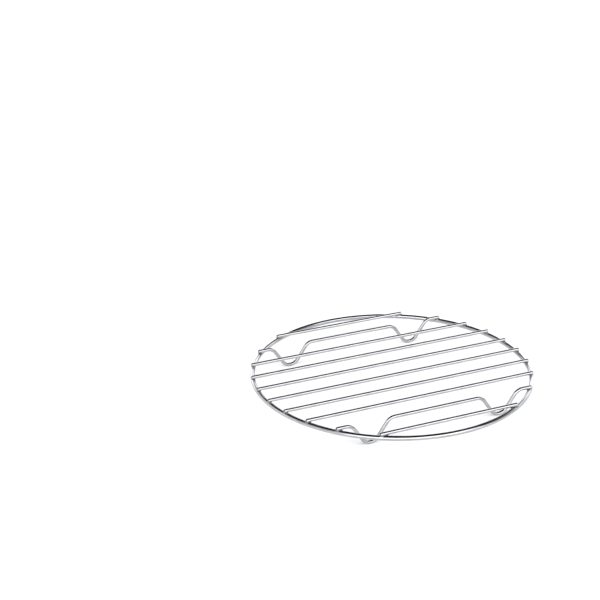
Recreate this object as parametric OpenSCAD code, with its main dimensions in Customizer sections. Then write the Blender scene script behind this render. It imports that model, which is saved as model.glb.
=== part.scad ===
// Round wire cooling rack: a ring, eight straight cross bars and two bent foot
// wires. Each wire is welded to the ring where it crosses it, and the whole
// rack is plated. It stands on the four feet bent into the foot wires.
//
// Frame: millimetres, +Z up. The origin is the middle of the rack, on the
// surface that it stands on. The wires run along X and the front is at -Y.

/* [Ring] */
// Outside diameter of the ring
ring_od = 230; // [215:1:260]
// Diameter of the ring's wire
ring_wire = 4; // [3.5:0.1:5]

/* [Cross wires] */
// Diameter of the cross bars and the foot wires
bar_wire = 3; // [2.5:0.1:3.4]
// Distance between the centre lines of neighbouring wires
bar_pitch = 21.5; // [20:0.1:22]
// How far the wires reach past the ring's centre line, along the wire
bar_overhang = 1.5; // [0.8:0.1:2]
// Radius of the rounded edge at the wires' cut ends
end_round = 1; // [0.3:0.1:1.1]
// How deep the wires sink into the ring at the welds
weld_sink = 0.4; // [0.2:0.05:0.6]

/* [Feet] */
// Height of the rack, from the surface to the top of the bars
rack_height = 20.4; // [18:0.1:24]
// Distance from the rack's middle to the lowest point of each foot, along X
foot_offset = 56.6; // [52:0.1:60]
// Slope of the feet's legs, from level
leg_slope = 55; // [50:0.5:60]
// Bend radius at the bottom of a foot, to the middle of the wire
foot_bend = 8; // [5:0.1:9]
// Bend radius where a leg meets the level wire, to the middle of the wire
shoulder_bend = 8; // [4:0.1:9]

/* [Hidden] */

$fn = 64;
plating = "gainsboro";

// Bent wire is this much thinner than straight wire, and each bend reaches
// this far into the straights beside it, so that the two join as one solid
bend_thinning = 0.02;
bend_reach = 0.1;

// Ten wires cross the ring. Wire 1 is the front one and wire 10 the rear one.
wire_count = 10;

ring_r = (ring_od - ring_wire) / 2;
bar_z = rack_height - bar_wire / 2;
ring_z = bar_z - (bar_wire + ring_wire) / 2 + weld_sink;

// Distance of a wire from the rack's middle, along Y
function wire_y(wire) = (wire - (wire_count + 1) / 2) * bar_pitch;

// A length to the nearest hundredth of a millimetre, as a wire is cut
function cut_to(length) = round(100 * length) / 100;

// Half the length of a wire, which puts both its ends over the ring
function half_length(wire) =
    cut_to(sqrt(pow(ring_r, 2) - pow(wire_y(wire), 2)) + bar_overhang);

// How far the middle of the wire drops at a foot, and how far along X each
// leg runs when it is carried on to sharp corners
foot_drop = bar_z - (bar_wire - bend_thinning) / 2;
leg_run = (foot_drop + foot_bend * (1 / cos(leg_slope) - 1)) / tan(leg_slope);

// Lengths that the bends take away from the straights beside them
foot_tangent = foot_bend * tan(leg_slope);
shoulder_tangent = shoulder_bend * tan(leg_slope / 2);
leg_straight = leg_run / cos(leg_slope) - foot_tangent - shoulder_tangent;
middle_straight = 2 * (foot_offset - leg_run - shoulder_tangent);

// One foot as steps along the wire: [length, 0] is a straight, and
// [bend radius, angle] is a bend that turns the wire up, or down below zero
FOOT = [
    [shoulder_bend, -leg_slope],
    [leg_straight, 0],
    [foot_bend, 2 * leg_slope],
    [leg_straight, 0],
    [shoulder_bend, -leg_slope]
];

// A straight end of a wire, from x = 0 to its rounded cut at x = length
module end_straight(length) {
    r = bar_wire / 2;
    rotate([0, 90, 0]) rotate_extrude() {
        square([r, length - end_round]);
        square([r - end_round, length]);
        translate([r - end_round, length - end_round]) intersection() {
            circle(r = end_round);
            square(end_round);
        }
    }
}

// A bend that starts at the origin, along +X
module bend(radius, angle) {
    side = sign(angle);
    reach = asin(bend_reach / radius);
    translate([0, 0, side * radius]) rotate([90, 0, 0])
        rotate([0, 0, (side > 0 ? -90 : 90 + angle) - reach])
            rotate_extrude(angle = abs(angle) + 2 * reach)
                translate([radius, 0]) circle(d = bar_wire - bend_thinning);
}

// A wire that follows the steps, from the origin and along +X
module bent_wire(steps, i = 0) {
    if (i < len(steps)) {
        size = steps[i][0];
        angle = steps[i][1];
        if (angle == 0) {
            rotate([0, 90, 0]) cylinder(h = size, d = bar_wire);
            translate([size, 0, 0]) bent_wire(steps, i + 1);
        } else {
            bend(size, angle);
            translate([size * sin(abs(angle)), 0, sign(angle) * size * (1 - cos(angle))])
                rotate([0, -angle, 0]) bent_wire(steps, i + 1);
        }
    }
}

// The ring, with a shallow seat under each wire where it is welded on
module outer_ring() {
    color(plating) difference() {
        translate([0, 0, ring_z]) rotate_extrude()
            translate([ring_r, 0]) circle(d = ring_wire);
        for (wire = [1 : wire_count]) {
            translate([0, wire_y(wire), bar_z]) rotate([0, 90, 0])
                cylinder(h = 2 * half_length(wire), d = bar_wire, center = true);
        }
    }
}

// A straight wire, at the given place counted from the front
module cross_bar(wire) {
    r = bar_wire / 2;
    half = half_length(wire);
    color(plating) translate([0, wire_y(wire), bar_z]) rotate([0, 90, 0])
        rotate_extrude() {
            translate([0, -half]) square([r - end_round, 2 * half]);
            translate([0, end_round - half]) square([r, 2 * (half - end_round)]);
            for (side = [-1, 1]) translate([r - end_round, side * (half - end_round)])
                intersection() {
                    circle(r = end_round);
                    translate([0, -end_round]) square([end_round, 2 * end_round]);
                }
        }
}

// A foot wire, level over the ring and across its middle, with two feet
module foot_wire(wire) {
    half = half_length(wire);
    shoulder = cut_to(foot_offset + leg_run + shoulder_tangent);
    color(plating) translate([0, wire_y(wire), bar_z]) union() {
        translate([-shoulder, 0, 0])
            bent_wire(concat(FOOT, [[middle_straight, 0]], FOOT), $fn = 48);
        for (turn = [0, 180]) rotate([0, 0, turn])
            translate([shoulder, 0, 0]) end_straight(half - shoulder);
    }
}

outer_ring();
cross_bar(1);  // cross_bar_1
foot_wire(2);  // foot_wire_front
cross_bar(3);  // cross_bar_2
cross_bar(4);  // cross_bar_3
cross_bar(5);  // cross_bar_4
cross_bar(6);  // cross_bar_5
cross_bar(7);  // cross_bar_6
cross_bar(8);  // cross_bar_7
foot_wire(9);  // foot_wire_rear
cross_bar(10);  // cross_bar_8
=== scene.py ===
"""A round, chromed wire cooling rack on a pale studio floor.

Every wire is swept along its own centre line and stands for its CAD node. The
welds are smooth fillets between the wires and the ring.
"""

import math

import bpy
import numpy as np
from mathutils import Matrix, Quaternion, Vector


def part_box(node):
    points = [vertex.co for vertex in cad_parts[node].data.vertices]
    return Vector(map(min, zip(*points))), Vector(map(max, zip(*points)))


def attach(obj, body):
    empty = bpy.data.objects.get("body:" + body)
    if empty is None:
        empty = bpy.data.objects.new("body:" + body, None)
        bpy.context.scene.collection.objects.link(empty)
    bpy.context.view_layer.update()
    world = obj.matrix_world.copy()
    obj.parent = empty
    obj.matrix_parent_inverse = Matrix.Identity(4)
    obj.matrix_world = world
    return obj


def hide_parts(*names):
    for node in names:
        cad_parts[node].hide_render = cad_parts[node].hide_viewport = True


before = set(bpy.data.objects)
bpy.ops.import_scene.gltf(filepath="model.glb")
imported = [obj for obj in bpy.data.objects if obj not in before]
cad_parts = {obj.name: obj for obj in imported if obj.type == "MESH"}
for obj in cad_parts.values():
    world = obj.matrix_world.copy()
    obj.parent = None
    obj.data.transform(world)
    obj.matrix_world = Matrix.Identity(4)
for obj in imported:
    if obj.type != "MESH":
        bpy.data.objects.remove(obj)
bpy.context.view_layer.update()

MM = 0.001
BODY = "root"
BARS = ["cross_bar_%d" % number for number in range(1, 9)]
FOOT_WIRES = ["foot_wire_front", "foot_wire_rear"]

# ---------------------------------------------------------------- sizes

# How far the ring stays inside the CAD box
SKIN = 0.02 * MM

ring_low, ring_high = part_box("outer_ring")
RING_WIRE_R = (ring_high.z - ring_low.z) / 2
RING_Z = (ring_high.z + ring_low.z) / 2
RING_R = min(ring_high.x - ring_low.x, ring_high.y - ring_low.y) / 2 - RING_WIRE_R - SKIN

bar_low, bar_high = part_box("cross_bar_4")
BAR_R = (bar_high.z - bar_low.z) / 2
BAR_Z = (bar_high.z + bar_low.z) / 2

# The foot wires' shape, the depth of the welds and the rounding of cut ends, as in the CAD source
FOOT_OFFSET = 56.6 * MM
LEG_SLOPE = math.radians(55)
FOOT_BEND = 8 * MM
SHOULDER_BEND = 8 * MM
WELD_SINK = 0.4 * MM
END_ROUND = 1.0 * MM

# How far a cut end's face domes out, and the shares of its radius where the dome has points
END_DOME = 0.08 * MM
DOME_SHARES = (0.35, 0.7, 1.0)

# Mesh density: points round a wire, round the ring and over the rounding of a cut end, and the
# steps along bends and straights
SIDES = 64
RING_STEPS = 480
END_STEPS = 16
BEND_STEP = math.radians(2.5)
STRAIGHT_STEP = 6 * MM

# A centre line's own points are left out nearer the tip than this many depths of a cut end
END_CLEAR = 1.2

# A weld's fillet: its size, how much the size differs from weld to weld, and the seed of those
# differences
WELD_BLEND = 1.1 * MM
WELD_SPREAD = 0.2
WELD_SEED = 7

# Where a fillet isn't seen: how far it stays under the wires' skin, how many times its size it is
# carried on to, and how widely its rim is rounded off there
WELD_SKIN = 0.01 * MM
WELD_LIMIT = 1.15
WELD_RIM = 0.32 * MM

# The grid that the fillets are made on, as its cell and its half sizes beside and above a joint
WELD_CELL = 0.15 * MM
WELD_ROOM = 4.2 * MM
WELD_ROOM_UP = 2.0 * MM

# How a fillet's points are moved from the grid on to its true skin: the number of steps, the
# distance that slopes are measured over, and the least that a squared slope or a normal's length
# counts as
SKIN_STEPS = 3
NUDGE = 0.01 * MM
LEAST_SLOPE = 0.25
LEAST_LENGTH = 1e-6

# ---------------------------------------------------------- chrome plate

# The plate where it is dark, where it is light, and the painted shade of cut ends and weld
# creases
PLATE_DARK = (0.36, 0.365, 0.385, 1)
PLATE_LIGHT = (0.43, 0.43, 0.445, 1)
PAINTED_SHADE_COLOUR = (0.05, 0.05, 0.055, 1)
PAINTED_SHADE_ROUGHNESS = 0.22

# Each noise in the plate, as its stretch along each axis, its scale and its detail
TONE_NOISE = ((1, 1, 1), 90.0, 3.0)
LINE_NOISE = ((0.02, 1, 1), 5200.0, 2.0)
HAZE_NOISE = ((1, 1, 1), 260.0, 4.0)
WAVE_NOISE = ((0.35, 1, 1), 330.0, 1.0)
# The crease noise breaks up the painted shade beside the welds
CREASE_NOISE = ((1, 1, 1), 900.0, 2.0)

# The range of each noise that counts, and the values that it becomes
TONE_RANGE = (0.35, 0.65)
LINE_RANGE = (0.3, 0.75)
LINE_ROUGHNESS = (0.0, 0.05)
HAZE_RANGE = (0.3, 0.7)
HAZE_ROUGHNESS = (0.05, 0.11)
CREASE_NOISE_RANGE = (0.3, 0.6)
CREASE_NOISE_SHARE = (0.55, 1.0)

# Where the painted shade begins and is full: on a cut end as shares of the wire's radius, and
# beside a weld as depths in the crease
END_SHADE_RANGE = (0.93, 0.6)
CREASE_SHADE_RANGE = (0.2, 0.75)

# The height of the plate's slow waves and of the drawn lines, and how strongly each shows
WAVE_HEIGHT = 0.03 * MM
WAVE_STRENGTH = 0.6
LINE_HEIGHT = 0.002 * MM
LINE_STRENGTH = 0.5

# -------------------------------------------------------- floor and light

FLOOR_HALF = 6.0
FLOOR_COLOUR = (0.9, 0.9, 0.9, 1)
FLOOR_ROUGHNESS = 0.9

# The studio round the rack as soft-edged round patches: the direction of the middle as
# (azimuth from +X, elevation), the half angle, the softness of the edge, and the brightness.
# The angles are in degrees. Each patch lies over the ones before it, and all lie over the walls.
WALL_LIGHT = 2.7
STUDIO_PATCHES = [
    ("light_on_the_camera_side", (-114, 17), 60, 40, 3.3),
    ("grey_wall_left", (180, 18), 26, 9, 1.0),
    ("grey_wall_right", (4, 4), 18, 8, 1.3),
    ("grey_wall_back_left", (130, 24), 26, 8, 1.3),
    ("dark_room_right", (-24, 24), 20, 6, 0.35),
    ("dark_ceiling", (85, 80), 54, 5, 0.02),
]

SUN_FROM = (-0.35, -0.7, 1.0)
SUN_ENERGY = 2.8
SUN_ANGLE = math.radians(70)

# ---------------------------------------------------------------- camera

# The place and the aim are from the middle of the ring. The sensor and the lens are in
# millimetres, and the reach, the furthest that is seen, is in metres.
CAMERA_PLACE = Vector((-525.1, -990.7, 543.2)) * MM
CAMERA_AIM = Vector((-6.4, 166.9, 0)) * MM
CAMERA_ROLL = math.radians(-0.22)
CAMERA_SENSOR = 36
CAMERA_LENS = 91.66
CAMERA_REACH = 50


def new_object(name, data):
    """A new object in the scene."""
    made = bpy.data.objects.new(name, data)
    bpy.context.scene.collection.objects.link(made)
    return made


# ----------------------------------------------------------------- wires

def swept_mesh(name, points, side, across, radii, run, tips=None):
    """A round wire through points. side and across are unit vectors at each point, square to the
    wire; radii and run are its radius and the length of wire up to each point. tips are the
    middles of the two cut ends, and without them the wire is a closed round."""
    turn = np.linspace(0, 2 * math.pi, SIDES, endpoint=False)
    cos, sin = np.cos(turn)[None, :, None], np.sin(turn)[None, :, None]
    reach = radii[:, None, None]
    verts = points[:, None, :] + reach * (cos * side[:, None, :] + sin * across[:, None, :])
    verts = verts.reshape(-1, 3)
    count = len(points)
    closed = tips is None
    faces = []
    places = []

    def place(step, corner, ahead=0.0):
        angle = 2 * math.pi * corner / SIDES
        return (run[step] + ahead, radii[step] * math.cos(angle), radii[step] * math.sin(angle))

    for step in range(count if closed else count - 1):
        after = (step + 1) % count
        ahead = run[-1] + (run[1] - run[0]) if after == 0 else 0.0
        for corner in range(SIDES):
            beside = (corner + 1) % SIDES
            faces.append((step * SIDES + corner, after * SIDES + corner,
                          after * SIDES + beside, step * SIDES + beside))
            places += [place(step, corner), place(after, corner, ahead),
                       place(after, corner + 1, ahead), place(step, corner + 1)]
    if not closed:
        verts = np.vstack([verts, tips])
        first_tip, last_tip = count * SIDES, count * SIDES + 1
        last = count - 1
        for corner in range(SIDES):
            beside = (corner + 1) % SIDES
            faces.append((first_tip, corner, beside))
            places += [(run[0], 0, 0), place(0, corner), place(0, corner + 1)]
            faces.append((last_tip, last * SIDES + beside, last * SIDES + corner))
            places += [(run[last], 0, 0), place(last, corner + 1), place(last, corner)]
    mesh = bpy.data.meshes.new(name)
    mesh.from_pydata(verts.tolist(), [], faces)
    layer = mesh.attributes.new("wire_place", "FLOAT_VECTOR", "CORNER")
    layer.data.foreach_set("vector", np.array(places, np.float32).ravel())
    mesh.polygons.foreach_set("use_smooth", np.ones(len(faces), bool))
    mesh.update()
    mesh.validate()
    return new_object(name, mesh)


def foot_wire_steps(half):
    """A foot wire as (length, 0) for each straight and (bend radius, angle) for each bend."""
    drop = BAR_Z - BAR_R
    leg_run = (drop + FOOT_BEND * (1 / math.cos(LEG_SLOPE) - 1)) / math.tan(LEG_SLOPE)
    shoulder_tangent = SHOULDER_BEND * math.tan(LEG_SLOPE / 2)
    leg_straight = (leg_run / math.cos(LEG_SLOPE) - FOOT_BEND * math.tan(LEG_SLOPE)
                    - shoulder_tangent)
    middle = 2 * (FOOT_OFFSET - leg_run - shoulder_tangent)
    end = half - FOOT_OFFSET - leg_run - shoulder_tangent
    foot = [(SHOULDER_BEND, -LEG_SLOPE), (leg_straight, 0), (FOOT_BEND, 2 * LEG_SLOPE),
            (leg_straight, 0), (SHOULDER_BEND, -LEG_SLOPE)]
    return [(end, 0)] + foot + [(middle, 0)] + foot + [(end, 0)]


def centre_line(steps, start):
    """Rows of (x, z, heading, run) along a wire that begins level, at x = start and z = 0."""
    x, z, heading, run = start, 0.0, 0.0, 0.0
    line = [(x, z, heading, run)]
    for size, angle in steps:
        if angle == 0:
            count = max(1, round(size / STRAIGHT_STEP))
            for _ in range(count):
                x += size / count * math.cos(heading)
                z += size / count * math.sin(heading)
                run += size / count
                line.append((x, z, heading, run))
        else:
            count = max(2, round(abs(angle) / BEND_STEP))
            turn = angle / count
            chord = 2 * size * math.sin(abs(turn) / 2)
            for _ in range(count):
                x += chord * math.cos(heading + turn / 2)
                z += chord * math.sin(heading + turn / 2)
                heading += turn
                run += size * abs(turn)
                line.append((x, z, heading, run))
    return np.array(line)


def end_profile():
    """(distance from the tip, radius) of a cut end: a nearly flat face and a rounded edge."""
    flat = BAR_R - END_ROUND
    profile = [(END_DOME * (share ** 2), flat * share) for share in DOME_SHARES]
    for step in range(1, END_STEPS + 1):
        angle = math.pi / 2 * step / END_STEPS
        profile.append((END_DOME + END_ROUND * (1 - math.cos(angle)),
                        flat + END_ROUND * math.sin(angle)))
    return profile


def rounded_ends(line):
    """The centre line with a rounded end at each tip: rows of (x, z, heading, run, radius)."""
    profile = end_profile()
    clear = profile[-1][0] * END_CLEAR
    length = line[-1, 3]
    first = [(line[0, 0] + distance, line[0, 1], 0.0, distance, radius)
             for distance, radius in profile]
    middle = [(*row, BAR_R) for row in line if clear < row[3] < length - clear]
    last = [(line[-1, 0] - distance, line[-1, 1], 0.0, length - distance, radius)
            for distance, radius in reversed(profile)]
    return np.array(first + middle + last)


def make_wire(name, line, y):
    """A cross wire from its centre line in the XZ plane, at the given Y."""
    x, z, heading, run, radii = rounded_ends(line).T
    count = len(x)
    points = np.stack([x, np.full(count, y), BAR_Z + z], 1)
    up = np.stack([-np.sin(heading), np.zeros(count), np.cos(heading)], 1)
    back = np.tile([0.0, 1.0, 0.0], (count, 1))
    tips = [(line[0, 0], y, BAR_Z), (line[-1, 0], y, BAR_Z)]
    return swept_mesh(name, points, up, back, radii, run, tips)


def make_ring():
    """The ring: one closed round of wire."""
    turn = np.linspace(0, 2 * math.pi, RING_STEPS, endpoint=False)
    out = np.stack([np.cos(turn), np.sin(turn), np.zeros(RING_STEPS)], 1)
    points = RING_R * out + np.array([0, 0, RING_Z])
    up = np.tile([0.0, 0.0, 1.0], (RING_STEPS, 1))
    radii = np.full(RING_STEPS, RING_WIRE_R)
    return swept_mesh("ring_wire", points, out, up, radii, turn * RING_R)


# ----------------------------------------------------------------- welds

def ring_distance(p):
    """Distance of points from the ring's surface, below zero inside it."""
    flat = np.hypot(p[:, 0], p[:, 1]) - RING_R
    return np.hypot(flat, p[:, 2] - RING_Z) - RING_WIRE_R


def wire_distance(p, y, half):
    """Distance of points from a straight wire with rounded ends, below zero inside it."""
    radial = np.hypot(p[:, 1] - y, p[:, 2] - BAR_Z) - (BAR_R - END_ROUND)
    along = np.abs(p[:, 0]) - (half - END_DOME - END_ROUND)
    outside = np.hypot(np.maximum(radial, 0), np.maximum(along, 0))
    inside = np.minimum(np.maximum(radial, along), 0)
    return outside + inside - END_ROUND


def surface_net(depth, ticks):
    """Points and quads of the closed skin where a grid of depths passes through zero. ticks are
    the places of the grid's planes along each axis."""
    total = np.zeros((depth.size, 3))
    count = np.zeros(depth.size)
    strides = np.array([depth.shape[1] * depth.shape[2], depth.shape[2], 1])
    quads = []
    for axis in range(3):
        order = [axis, (axis + 1) % 3, (axis + 2) % 3]
        here = depth.transpose(order)
        crossed = np.stack(np.nonzero((here[:-1] < 0) != (here[1:] < 0)), 1)
        low = here[tuple(crossed.T)]
        high = here[tuple((crossed + (1, 0, 0)).T)]
        at = np.zeros((len(crossed), 3))
        for side, column in zip(order, crossed.T):
            at[:, side] = ticks[side][column]
        at[:, axis] += WELD_CELL * low / (low - high)
        # Each crossed edge makes a quad between the four cells round it, and each cell's point
        # is the mean of its crossings
        corners = []
        for back in ((0, 1, 1), (0, 0, 1), (0, 0, 0), (0, 1, 0)):
            number = (crossed - back) @ strides[order]
            np.add.at(total, number, at)
            np.add.at(count, number, 1)
            corners.append(number)
        quad = np.stack(corners, 1)
        quads.append(np.where((low < 0)[:, None], quad, quad[:, ::-1]))
    used = np.nonzero(count)[0]
    place = np.zeros(depth.size, int)
    place[used] = np.arange(len(used))
    return total[used] / count[used, None], place[np.concatenate(quads)]


def uncross(depth):
    """Takes a corner out of each checkered square in the grid, where the skin would touch
    itself."""
    crossing = True
    while crossing:
        crossing = False
        for axis in range(3):
            here = np.moveaxis(depth, axis, 0)
            solid = here < 0
            near, far = solid[:, :-1, :-1], solid[:, 1:, :-1]
            checkered = (near == solid[:, 1:, 1:]) & (far == solid[:, :-1, 1:]) & (near != far)
            i, j, k = np.nonzero(checkered)
            here[i, np.where(near[i, j, k], j, j + 1), k] = WELD_SKIN
            crossing = crossing or len(i) > 0


def make_weld(y, half, side, blend):
    """One weld's fillet as a closed shell: its points, their normals, how deep in the crease
    each lies, and its quads."""
    def distances(p):
        """Distances of points from the ring and from the wire."""
        return ring_distance(p), wire_distance(p, y, half)

    def depth(p):
        """Distance of points from the fillet's skin, below zero inside it: the ring and the wire
        run together by a smooth minimum, and cut off beyond the fillet by a smooth maximum."""
        ring, wire = distances(p)
        mix = np.maximum(blend - np.abs(ring - wire), 0) / blend
        metal = np.minimum(ring, wire) - mix ** 2 * blend / 4 + WELD_SKIN
        beyond = np.maximum(ring, wire) - WELD_LIMIT * blend
        rim = np.maximum(WELD_RIM - np.abs(metal - beyond), 0)
        return np.maximum(metal, beyond) + rim ** 2 / (4 * WELD_RIM)

    def slope(p):
        """How fast the depth changes along each axis."""
        rise = [depth(p + nudge) - depth(p - nudge) for nudge in NUDGE * np.eye(3)]
        return np.stack(rise, 1) / (2 * NUDGE)

    # The further a wire is from the middle, the longer its crossing with the ring
    across = math.sqrt(RING_R ** 2 - y ** 2)
    room = WELD_ROOM * RING_R / across
    centre = (side * across, y, BAR_Z - BAR_R + WELD_SINK / 2)
    ticks = [middle + np.arange(-reach, reach, WELD_CELL)
             for middle, reach in zip(centre, (room, room, WELD_ROOM_UP))]
    grid = np.stack(np.meshgrid(*ticks, indexing="ij"), -1)
    depths = depth(grid.reshape(-1, 3)).reshape(grid.shape[:3])
    uncross(depths)
    points, quads = surface_net(depths, ticks)
    for _ in range(SKIN_STEPS):
        lean = slope(points)
        step = depth(points) / np.maximum((lean ** 2).sum(1), LEAST_SLOPE)
        points = points - lean * np.clip(step, -WELD_CELL, WELD_CELL)[:, None]
    normals = slope(points)
    normals /= np.maximum(np.linalg.norm(normals, axis=1), LEAST_LENGTH)[:, None]
    # How deep in the crease each point lies, which sets the painted shade there
    ring, wire = distances(points)
    crease = np.clip(1 - np.abs(ring - wire) / blend, 0, 1)
    return points, normals, crease, quads


def make_welds(wires):
    """All the weld fillets, as one piece of closed shells. wires are (y, half length) pairs."""
    chance = np.random.default_rng(WELD_SEED)
    made = [make_weld(y, half, side, WELD_BLEND * (1 + WELD_SPREAD * chance.uniform(-1, 1)))
            for y, half in wires for side in (-1, 1)]
    starts = np.cumsum([0] + [len(weld[0]) for weld in made[:-1]])
    points, normals, creases = (np.concatenate(part) for part in list(zip(*made))[:3])
    quads = np.concatenate([weld[3] + start for weld, start in zip(made, starts)])
    mesh = bpy.data.meshes.new("weld_fillets")
    mesh.from_pydata(points.tolist(), [], quads.tolist())
    layer = mesh.attributes.new("crease", "FLOAT", "POINT")
    layer.data.foreach_set("value", creases.astype(np.float32))
    mesh.polygons.foreach_set("use_smooth", np.ones(len(quads), bool))
    mesh.normals_split_custom_set_from_vertices(normals.tolist())
    mesh.update()
    return new_object("weld_fillets", mesh)


# -------------------------------------------------------------- material

def node(tree, kind, **values):
    """A new shader node, with the given properties and input values set."""
    made = tree.nodes.new(kind)
    for key, value in values.items():
        if key in made.inputs:
            made.inputs[key].default_value = value
        else:
            setattr(made, key, value)
    return made


def ramp(tree, value, given, result=(0.0, 1.0)):
    """A value that runs from one end of result to the other as the given value runs from one end
    of given to the other."""
    made = node(tree, "ShaderNodeMapRange")
    made.inputs["From Min"].default_value = given[0]
    made.inputs["From Max"].default_value = given[1]
    made.inputs["To Min"].default_value = result[0]
    made.inputs["To Max"].default_value = result[1]
    tree.links.new(value, made.inputs["Value"])
    return made.outputs["Result"]


def noise(tree, vector, kind):
    """Noise over the given coordinates. kind is its stretch along each axis, scale and detail."""
    stretch, scale, detail = kind
    mapping = node(tree, "ShaderNodeMapping")
    mapping.inputs["Scale"].default_value = stretch
    tree.links.new(vector, mapping.inputs["Vector"])
    made = node(tree, "ShaderNodeTexNoise")
    made.inputs["Scale"].default_value = scale
    made.inputs["Detail"].default_value = detail
    tree.links.new(mapping.outputs["Vector"], made.inputs["Vector"])
    return made.outputs["Fac"]


def maths(tree, operation, first, second):
    """Two values put together by a Math node, each a number or another node's output."""
    made = node(tree, "ShaderNodeMath", operation=operation)
    for socket, value in zip(made.inputs, (first, second)):
        if isinstance(value, float):
            socket.default_value = value
        else:
            tree.links.new(value, socket)
    return made.outputs["Value"]


def mixed(tree, share, first, second):
    """A colour mixed from two, each a colour or another node's output."""
    made = node(tree, "ShaderNodeMix", data_type="RGBA")
    tree.links.new(share, made.inputs["Factor"])
    for socket, value in ((made.inputs["A"], first), (made.inputs["B"], second)):
        if isinstance(value, tuple):
            socket.default_value = value
        else:
            tree.links.new(value, socket)
    return made.outputs["Result"]


def along_the_wire(tree):
    """Coordinates that follow a wire: the run along it and the place across it."""
    return node(tree, "ShaderNodeAttribute", attribute_name="wire_place").outputs["Vector"]


def in_the_object(tree):
    """The object's own coordinates."""
    return node(tree, "ShaderNodeTexCoord").outputs["Object"]


def painted_end_shade(tree, vector):
    """How much painted shade a point on a wire's cut end gets, for the dark its tip reflects: 0
    on its side and 1 on its flat face.
    """
    across = node(tree, "ShaderNodeVectorMath", operation="MULTIPLY")
    across.inputs[1].default_value = (0, 1, 1)
    tree.links.new(vector, across.inputs[0])
    reach = node(tree, "ShaderNodeVectorMath", operation="LENGTH")
    tree.links.new(across.outputs["Vector"], reach.inputs[0])
    return ramp(tree, reach.outputs["Value"], [BAR_R * share for share in END_SHADE_RANGE])


def painted_crease_shade(tree, vector):
    """How much painted shade a point beside a weld gets, from how deep in the crease it lies,
    broken up along the crease.
    """
    crease = node(tree, "ShaderNodeAttribute", attribute_name="crease").outputs["Fac"]
    patchy = ramp(tree, noise(tree, vector, CREASE_NOISE), CREASE_NOISE_RANGE, CREASE_NOISE_SHARE)
    return maths(tree, "MULTIPLY", ramp(tree, crease, CREASE_SHADE_RANGE), patchy)


def chrome(name, place, painted_shade_mask):
    """Bright chrome plate. place gives the coordinates that its marks follow, and the third
    argument how much near-black painted shade a point gets; there the plate is also made rougher."""
    material = bpy.data.materials.new(name)
    material.use_nodes = True
    tree = material.node_tree
    tree.nodes.clear()
    out = node(tree, "ShaderNodeOutputMaterial")
    shader = node(tree, "ShaderNodeBsdfPrincipled", Metallic=1.0)
    tree.links.new(shader.outputs["BSDF"], out.inputs["Surface"])
    vector = place(tree)
    painted_shade_share = painted_shade_mask(tree, vector)

    # The plate is a little cooler and darker in some places than in others
    tone = ramp(tree, noise(tree, vector, TONE_NOISE), TONE_RANGE)
    plate = mixed(tree, tone, PLATE_DARK, PLATE_LIGHT)
    # Where the mask is high, the plate colour gives way to near-black painted shade
    tree.links.new(mixed(tree, painted_shade_share, plate, PAINTED_SHADE_COLOUR), shader.inputs["Base Color"])

    # Fine lines from drawing the wire, along its length, and a slight haze show in the gloss
    lines = noise(tree, vector, LINE_NOISE)
    haze = noise(tree, vector, HAZE_NOISE)
    roughness = maths(tree, "ADD", ramp(tree, lines, LINE_RANGE, LINE_ROUGHNESS),
                      ramp(tree, haze, HAZE_RANGE, HAZE_ROUGHNESS))
    roughness = maths(tree, "ADD", roughness, maths(tree, "MULTIPLY", painted_shade_share, PAINTED_SHADE_ROUGHNESS))
    tree.links.new(roughness, shader.inputs["Roughness"])

    # Slow waves in the plate, and the drawn lines, bend the reflections a little
    waves = node(tree, "ShaderNodeBump", Distance=WAVE_HEIGHT, Strength=WAVE_STRENGTH)
    tree.links.new(noise(tree, vector, WAVE_NOISE), waves.inputs["Height"])
    scored = node(tree, "ShaderNodeBump", Distance=LINE_HEIGHT, Strength=LINE_STRENGTH)
    tree.links.new(lines, scored.inputs["Height"])
    tree.links.new(waves.outputs["Normal"], scored.inputs["Normal"])
    tree.links.new(scored.outputs["Normal"], shader.inputs["Normal"])
    return material


# ------------------------------------------------------------------ rack

def make_rack():
    """The eleven wires, each standing for its CAD node, and the fillets of their welds."""
    pieces = []
    wires = []
    for name in BARS + FOOT_WIRES:
        low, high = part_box(name)
        half, y = (high.x - low.x) / 2, (high.y + low.y) / 2
        if name in BARS:
            wire = make_wire(name + "_wire", centre_line([(2 * half, 0)], -half), y)
        else:
            wire = make_wire(name + "_bent", centre_line(foot_wire_steps(half), -half), y)
        pieces.append((wire, name))
        wires.append((y, half))
    pieces.append((make_ring(), "outer_ring"))

    # The wires' chrome gets painted shade on their cut ends
    wire_chrome = chrome("bright_chrome", along_the_wire, painted_end_shade)
    for piece, name in pieces:
        piece.data.materials.append(wire_chrome)
        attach(piece, BODY)
        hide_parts(name)

    welds = make_welds(wires)
    # The fillets' chrome gets painted shade deep in their creases
    welds.data.materials.append(chrome("weld_chrome", in_the_object, painted_crease_shade))
    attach(welds, BODY)


# ---------------------------------------------------------------- studio

def make_floor():
    """A wide pale floor."""
    corners = [(x * FLOOR_HALF, y * FLOOR_HALF, 0)
               for x, y in ((-1, -1), (1, -1), (1, 1), (-1, 1))]
    mesh = bpy.data.meshes.new("floor")
    mesh.from_pydata(corners, [], [(0, 1, 2, 3)])
    floor = new_object("floor", mesh)
    material = bpy.data.materials.new("pale_floor")
    material.use_nodes = True
    shader = material.node_tree.nodes["Principled BSDF"]
    shader.inputs["Base Color"].default_value = FLOOR_COLOUR
    shader.inputs["Roughness"].default_value = FLOOR_ROUGHNESS
    shader.inputs["Specular IOR Level"].default_value = 0.0
    mesh.materials.append(material)


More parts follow.
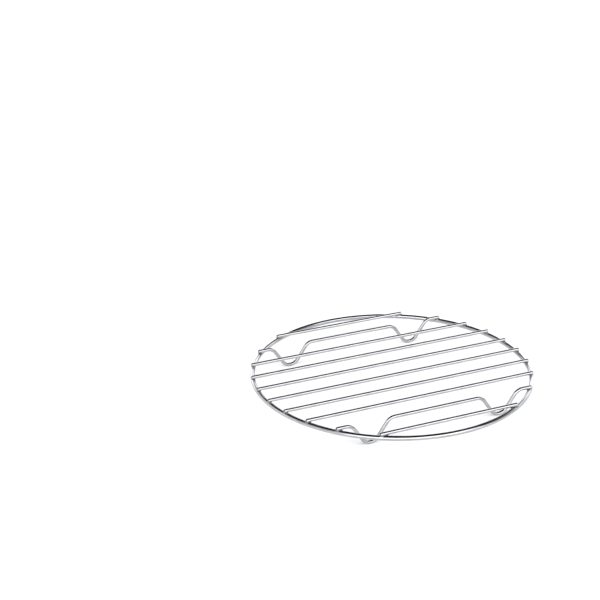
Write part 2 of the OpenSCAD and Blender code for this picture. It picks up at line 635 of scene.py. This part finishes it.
def make_world():
    """Bright walls, with the studio's patches of light and dark laid over them."""
    world = bpy.data.worlds.new("studio")
    bpy.context.scene.world = world
    world.use_nodes = True
    tree = world.node_tree
    tree.nodes.clear()
    link = tree.links.new
    out = node(tree, "ShaderNodeOutputWorld")
    back = node(tree, "ShaderNodeBackground")
    back.inputs["Color"].default_value = (1, 1, 1, 1)
    link(back.outputs["Background"], out.inputs["Surface"])
    where = node(tree, "ShaderNodeTexCoord")

    below = None
    for name, (azimuth, elevation), half, edge, light in STUDIO_PATCHES:
        turn, tilt = math.radians(azimuth), math.radians(elevation)
        near = node(tree, "ShaderNodeVectorMath", operation="DOT_PRODUCT", name=name)
        link(where.outputs["Generated"], near.inputs[0])
        near.inputs[1].default_value = (math.cos(tilt) * math.cos(turn),
                                        math.cos(tilt) * math.sin(turn), math.sin(tilt))
        patch = node(tree, "ShaderNodeMapRange", interpolation_type="SMOOTHSTEP")
        patch.inputs["From Min"].default_value = math.cos(math.radians(half + edge))
        patch.inputs["From Max"].default_value = math.cos(math.radians(half - edge))
        patch.inputs["To Min"].default_value = WALL_LIGHT
        patch.inputs["To Max"].default_value = light
        link(near.outputs["Value"], patch.inputs["Value"])
        if below:
            link(below.outputs["Result"], patch.inputs["To Min"])
        below = patch
    link(below.outputs["Result"], back.inputs["Strength"])


def make_sun():
    """A very soft overhead light that evens out the floor and isn't seen in the chrome."""
    data = bpy.data.lights.new("overhead_light", "SUN")
    data.energy = SUN_ENERGY
    data.angle = SUN_ANGLE
    lamp = new_object("overhead_light", data)
    lamp.rotation_mode = "QUATERNION"
    lamp.rotation_quaternion = (-Vector(SUN_FROM)).to_track_quat("-Z", "Y")
    lamp.visible_glossy = False


def make_camera():
    """The scene's camera, at the photograph's viewing angle."""
    data = bpy.data.cameras.new("camera")
    data.sensor_width = CAMERA_SENSOR
    data.lens = CAMERA_LENS
    data.clip_end = CAMERA_REACH
    camera = new_object("camera", data)
    bpy.context.scene.camera = camera
    camera.location = CAMERA_PLACE + Vector((0, 0, RING_Z))
    aim = CAMERA_AIM + Vector((0, 0, RING_Z))
    level = (aim - camera.location).to_track_quat("-Z", "Y")
    camera.rotation_mode = "QUATERNION"
    camera.rotation_quaternion = level @ Quaternion((0, 0, 1), CAMERA_ROLL)


make_rack()
make_floor()
make_world()
make_sun()
make_camera()

scene = bpy.context.scene
scene.view_settings.view_transform = "Standard"
scene.view_settings.look = "None"
